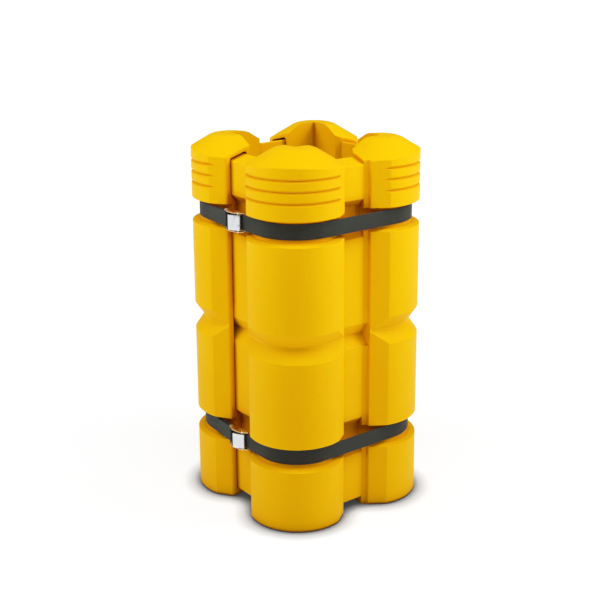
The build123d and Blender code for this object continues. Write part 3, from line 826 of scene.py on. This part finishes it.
class PROTECTOR_OT_springs(bpy.types.Operator):
    """Wind the torsion springs, one leg on the frame's side and one under the lever"""

    bl_idname = "protector.springs"
    bl_label = "Wind the springs"

    def execute(self, context):
        look = context.scene.protector_buckle
        steel = drawn_spring_steel(look)
        for strap in STRAPS:
            pin = middle(f"{strap}_buckle_pivot_pin")
            coil = self.wind(f"{strap}_buckle_torsion_spring", look, pin)
            finish_piece(coil, steel, smooth=60)
            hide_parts(f"{strap}_buckle_spring")
            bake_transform(coil)
        return {"FINISHED"}

    def wind(self, name, look, pin):
        """Draw the wire out as a leg on the webbing's side, wind it round the pin and end in a leg."""
        steps = round(look.wound / WOUND)
        turn = look.wound / steps
        rise = look.pitch * turn / tau
        leg = Vector((look.leg, 0, look.leg * look.pitch / (tau * look.coil)))
        start = pin + Vector((0, look.coil, -rise * steps / 2)) - leg
        clear_selection()
        bpy.ops.mesh.primitive_circle_add(
            vertices=10, radius=look.wire / 2, fill_type="NGON", location=start, rotation=(0, QUARTER, 0))
        coil = bpy.context.active_object
        coil.name = name
        bpy.ops.object.transform_apply(location=True, rotation=True, scale=True)
        bpy.ops.object.mode_set(mode="EDIT")
        bpy.ops.mesh.select_all(action="SELECT")
        bpy.ops.mesh.extrude_region_move(TRANSFORM_OT_translate={"value": leg})
        for _ in range(steps):
            bpy.ops.mesh.extrude_region_move(TRANSFORM_OT_translate={"value": (0, 0, rise)})
            bpy.ops.transform.rotate(value=turn, orient_axis="Z", center_override=pin)
        bpy.ops.mesh.extrude_region_move(
            TRANSFORM_OT_translate={"value": Matrix.Rotation(-look.wound, 3, "Z") @ leg})
        bpy.ops.mesh.select_all(action="SELECT")
        bpy.ops.mesh.normals_make_consistent(inside=False)
        bpy.ops.object.mode_set(mode="OBJECT")
        return coil


class PROTECTOR_OT_stage(bpy.types.Operator):
    """Set the floor, the softboxes and the camera"""

    bl_idname = "protector.stage"
    bl_label = "Set the stage"

    def execute(self, context):
        look = context.scene.protector_stage
        scene = context.scene
        clear_selection()
        bpy.ops.mesh.primitive_circle_add(vertices=96, radius=FLOOR_RADIUS, fill_type="NGON")
        floor = bpy.context.active_object
        floor.name = "studio_floor"
        give_material(floor, studio_floor(look))

        world = bpy.data.worlds.new("studio_surround")
        scene.world = world
        world.use_nodes = True
        fill(world.node_tree, world.node_tree.nodes["Background"], {
            "Color": (1, 1, 1, 1), "Strength": look.wall})

        ahead = Matrix.Rotation(look.azimuth - QUARTER, 3, "Z") @ Vector((-1, 0, 0))
        self.hang_softboxes(look, ahead)

        bpy.ops.object.camera_add()
        camera = bpy.context.active_object
        camera.name = "photo_view"
        camera.matrix_world = (
            Matrix.Translation(-look.distance * ahead + Vector((0, 0, look.height)))
            @ Matrix.Rotation(look.azimuth - look.yaw, 4, "Z")
            @ Matrix.Rotation(QUARTER - look.pitch, 4, "X")
            @ Matrix.Rotation(look.roll, 4, "Z"))
        camera.data.sensor_width = SENSOR
        camera.data.lens = look.focus / IMAGE * SENSOR
        camera.data.shift_y = (look.centre - IMAGE / 2) / IMAGE
        scene.camera = camera
        scene.view_settings.view_transform = "Standard"
        self.soften_highlights(scene.view_settings)
        return {"FINISHED"}

    def hang_softboxes(self, look, ahead):
        """Hang three softboxes on either side of the camera, aimed at the object's middle."""
        target = Vector((0, 0, look.middle))
        for name, power, side, rise in (
            ("low_left_softbox", look.left, look.beside, look.low_rise),
            ("high_left_softbox", look.left_high, look.beside, look.high_rise),
            ("top_left_softbox", look.left_top, look.above, look.top_rise),
            ("top_right_softbox", look.right_top, -look.above, look.top_rise),
            ("high_right_softbox", look.right_high, -look.beside, look.high_rise),
            ("low_right_softbox", look.right, -look.beside, look.low_rise),
        ):
            way = Matrix.Rotation(-side, 3, "Z") @ -ahead
            place = target + look.reach * (way * cos(rise) + Vector((0, 0, sin(rise))))
            aim = (target - place).to_track_quat("-Z", "Y").to_euler()
            bpy.ops.object.light_add(type="AREA", location=place, rotation=aim)
            lamp = bpy.context.active_object
            lamp.name = name
            lamp.data.energy = power
            lamp.data.size = look.box

    def soften_highlights(self, view):
        """Bend the bright end of the tone curve, so that lit yellow stays yellow."""
        view.use_curve_mapping = True
        tone = view.curve_mapping
        tone.white_level = (BRIGHTEST, BRIGHTEST, BRIGHTEST)
        curve = tone.curves[3]
        for light, shown in TONE_CURVE:
            curve.points.new(light / BRIGHTEST, shown)
        tone.update()


class PROTECTOR_PT_panel(bpy.types.Panel):
    """Settings and steps of the column protector"""

    bl_label = "Column protector"
    bl_idname = "PROTECTOR_PT_panel"
    bl_space_type = "VIEW_3D"
    bl_region_type = "UI"
    bl_category = "Protector"

    def draw(self, context):
        for group, operators in STEPS:
            box = self.layout.box()
            settings = getattr(context.scene, group)
            for key in settings.__annotations__:
                box.prop(settings, key)
            for operator in operators:
                box.operator(operator.bl_idname)


SETTINGS = {
    "protector_moulding": MouldingSettings,
    "protector_webbing": WebbingSettings,
    "protector_stitch": StitchSettings,
    "protector_buckle": BuckleSettings,
    "protector_stage": StageSettings,
}
STEPS = (
    ("protector_moulding", (PROTECTOR_OT_segments,)),
    ("protector_webbing", (PROTECTOR_OT_webbing,)),
    ("protector_stitch", (PROTECTOR_OT_stitching,)),
    ("protector_buckle", (PROTECTOR_OT_buckles, PROTECTOR_OT_springs)),
    ("protector_stage", (PROTECTOR_OT_stage,)),
)
CLASSES = (*SETTINGS.values(), *(operator for _, group in STEPS for operator in group), PROTECTOR_PT_panel)


def register():
    for item in CLASSES:
        bpy.utils.register_class(item)
    for key, group in SETTINGS.items():
        setattr(bpy.types.Scene, key, PointerProperty(type=group))


def unregister():
    for key in SETTINGS:
        delattr(bpy.types.Scene, key)
    for item in reversed(CLASSES):
        bpy.utils.unregister_class(item)


def main():
    register()
    bpy.ops.protector.segments()
    bpy.ops.protector.webbing()
    bpy.ops.protector.stitching()
    bpy.ops.protector.buckles()
    bpy.ops.protector.springs()
    bpy.ops.protector.stage()


if __name__ == "__main__":
    main()
